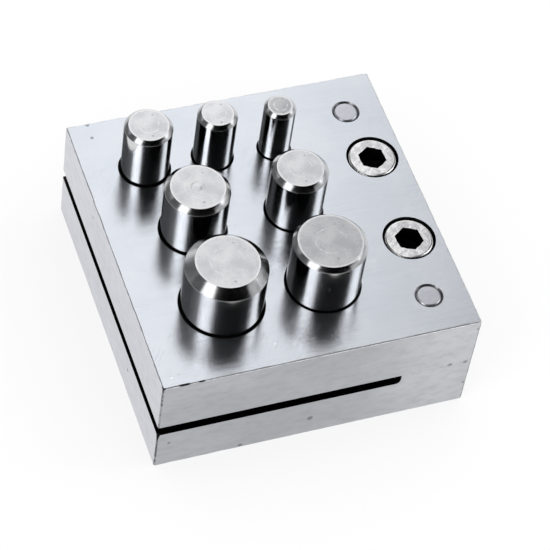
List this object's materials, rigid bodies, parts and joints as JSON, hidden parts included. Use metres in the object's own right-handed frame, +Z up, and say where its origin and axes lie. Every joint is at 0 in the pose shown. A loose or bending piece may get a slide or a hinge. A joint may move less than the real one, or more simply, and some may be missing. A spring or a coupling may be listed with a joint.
{
  "type": "disc cutter",
  "caption": "Steel block punch-and-die set for cutting round discs from sheet metal: a slotted two-piece die block with loose round punches standing in their bores.",
  "frame": {"origin": "middle of the underside of the lower block, on the surface that the cutter stands on", "axes": "+Z up along the punches, +Y from the front to the back, along the row of screws; +X from the open side of the sheet slot towards the screws"},
  "size_m": [0.0636, 0.065, 0.0381],
  "materials": {
    "ground_steel": "surface ground, satin",
    "polished_steel": "ground and polished, turned ends",
    "plated_screw": "bright plated",
    "dowel_steel": "ground"
  },
  "bodies": {
    "block": {"guide_block": "ground_steel", "die_block": "ground_steel", "cap_screw_front": "plated_screw", "cap_screw_rear": "plated_screw", "dowel_front": "dowel_steel", "dowel_rear": "dowel_steel"},
    "punch_06mm": {"punch_06mm": "polished_steel"},
    "punch_08mm": {"punch_08mm": "polished_steel"},
    "punch_10mm": {"punch_10mm": "polished_steel"},
    "punch_11mm": {"punch_11mm": "polished_steel"},
    "punch_13mm": {"punch_13mm": "polished_steel"},
    "punch_14mm": {"punch_14mm": "polished_steel"},
    "punch_16mm": {"punch_16mm": "polished_steel"}
  },
  "joints": [
    {"name": "punch_06mm_slide", "type": "slide", "parent": "block", "child": "punch_06mm", "axis": [0, 0, 1], "range_m": [0, 0.025]},
    {"name": "punch_08mm_slide", "type": "slide", "parent": "block", "child": "punch_08mm", "axis": [0, 0, 1], "range_m": [0, 0.025]},
    {"name": "punch_10mm_slide", "type": "slide", "parent": "block", "child": "punch_10mm", "axis": [0, 0, 1], "range_m": [0, 0.025]},
    {"name": "punch_11mm_slide", "type": "slide", "parent": "block", "child": "punch_11mm", "axis": [0, 0, 1], "range_m": [0, 0.025]},
    {"name": "punch_13mm_slide", "type": "slide", "parent": "block", "child": "punch_13mm", "axis": [0, 0, 1], "range_m": [0, 0.025]},
    {"name": "punch_14mm_slide", "type": "slide", "parent": "block", "child": "punch_14mm", "axis": [0, 0, 1], "range_m": [0, 0.025]},
    {"name": "punch_16mm_slide", "type": "slide", "parent": "block", "child": "punch_16mm", "axis": [0, 0, 1], "range_m": [0, 0.025]}
  ]
}
